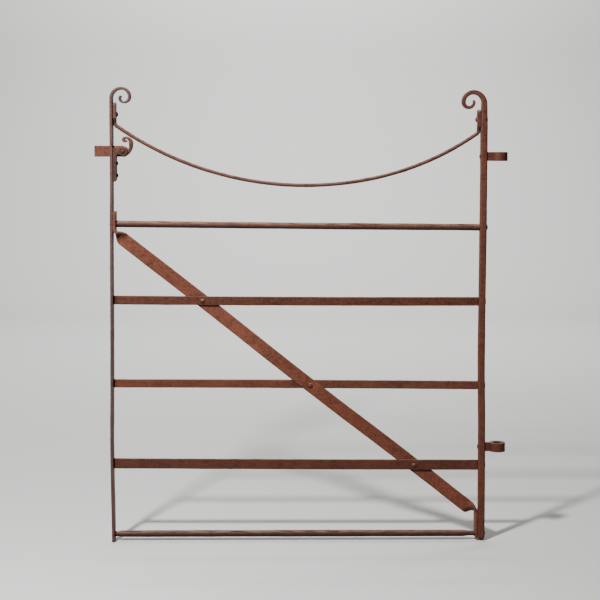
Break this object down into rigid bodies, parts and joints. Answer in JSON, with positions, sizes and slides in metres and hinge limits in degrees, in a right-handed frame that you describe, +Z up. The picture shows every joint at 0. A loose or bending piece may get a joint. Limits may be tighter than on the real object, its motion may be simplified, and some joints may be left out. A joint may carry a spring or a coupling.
{
  "type": "garden gate",
  "caption": "Hand-forged wrought-iron garden gate with scrolled stiles, flat and round rails, a woven diagonal brace, a dipped swag bar, hinge eyes and a lift latch.",
  "frame": {"origin": "on the hinge axis, at the underside of the lower hinge eye", "axes": "+Z up along the hinge axis, +X from the gate towards its hinge post, +Y from the front of the gate to its back"},
  "size_m": [1.162, 0.0494, 1.2935],
  "materials": {
    "stile_iron": "rusted, brushed smooth, dark in the pits",
    "rail_iron": "rusted, brushed smooth, worn paler on top",
    "brace_iron": "rusted, satin",
    "swag_iron": "rusted, worn paler on top",
    "rivet_iron": "rusted, hammer marked",
    "hinge_iron": "rusted, hammer marked",
    "latch_iron": "orange rust, matt"
  },
  "bodies": {
    "gate": {"latch_stile": "stile_iron", "hanging_stile": "stile_iron", "top_rail": "rail_iron", "upper_rail": "rail_iron", "middle_rail": "rail_iron", "lower_rail": "rail_iron", "bottom_rail": "rail_iron", "diagonal_brace": "brace_iron", "swag_bar": "swag_iron", "upper_brace_rivet": "rivet_iron", "middle_brace_rivet": "rivet_iron", "lower_brace_rivet": "rivet_iron", "latch_swag_rivet": "rivet_iron", "heel_swag_rivet": "rivet_iron", "upper_bracket_rivet": "rivet_iron", "lower_bracket_rivet": "rivet_iron", "upper_hinge_eye": "hinge_iron", "lower_hinge_eye": "hinge_iron", "latch_bracket": "latch_iron", "latch_pin": "latch_iron"},
    "latch": {"latch_lever": "latch_iron"}
  },
  "joints": [
    {"name": "latch_lift", "type": "hinge", "parent": "gate", "child": "latch", "pos_m": [-1.0585, 0, 0.8535], "axis": [0, 1, 0], "range_deg": [0, 10]}
  ]
}
